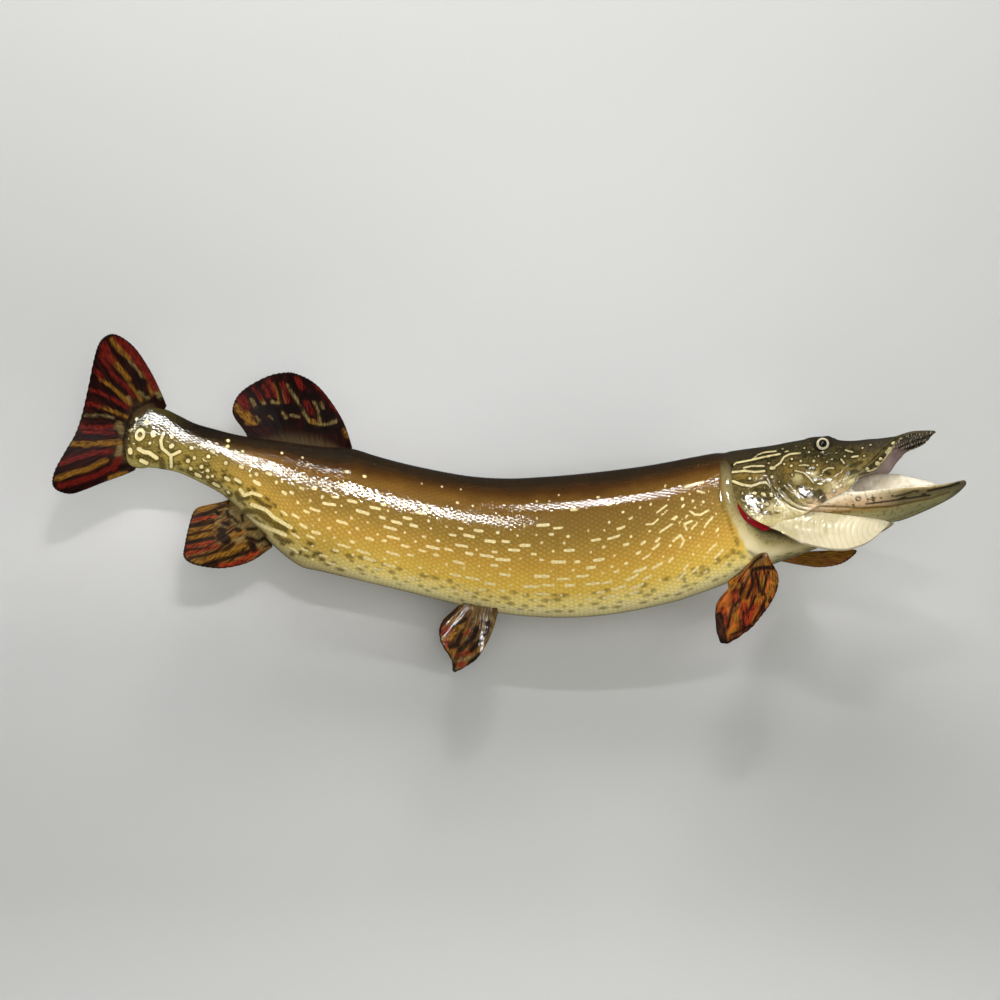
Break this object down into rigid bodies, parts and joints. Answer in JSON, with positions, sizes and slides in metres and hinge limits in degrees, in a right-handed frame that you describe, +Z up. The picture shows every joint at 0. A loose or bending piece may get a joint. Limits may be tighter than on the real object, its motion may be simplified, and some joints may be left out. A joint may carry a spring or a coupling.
{
  "type": "wall-mounted northern pike",
  "caption": "Life-size taxidermy northern pike for a wall, right side out, mouth open, body gently bent, on a hidden wooden block.",
  "frame": {"origin": "middle of the flat back face of the wall block, where the mount meets the wall", "axes": "+Y into the wall along the block's back face normal, +X along the fish toward its head, +Z up"},
  "size_m": [0.9182, 0.1944, 0.3483],
  "materials": {
    "scaled_skin": "painted scales under a clear gloss varnish",
    "head_skin": "painted skin under a clear gloss varnish",
    "pale_skin": "cream skin under a clear gloss varnish",
    "mouth_lining": "moist gloss",
    "gill": "moist gloss",
    "fin": "dried fin under a clear gloss varnish",
    "eye_glass": "painted glass eye",
    "wood": "dark stained softwood",
    "steel": "zinc plated"
  },
  "bodies": {
    "root": {"head": "head_skin", "lower_jaw": "pale_skin", "tongue": "mouth_lining", "throat": "pale_skin", "eye_right": "eye_glass", "eye_left": "eye_glass", "gill_cover_right": "head_skin", "gill_cover_left": "head_skin", "throat_membrane_right": "pale_skin", "throat_membrane_left": "pale_skin", "gills_right": "gill", "gills_left": "gill", "trunk_front": "scaled_skin", "trunk_middle": "scaled_skin", "trunk_rear": "scaled_skin", "tail_stalk": "scaled_skin", "caudal_fin": "fin", "dorsal_fin": "fin", "anal_fin": "fin", "pelvic_fin_right": "fin", "pelvic_fin_left": "fin", "pectoral_fin_right": "fin", "pectoral_fin_left": "fin", "wall_block": "wood", "hanger": "steel"}
  },
  "joints": []
}
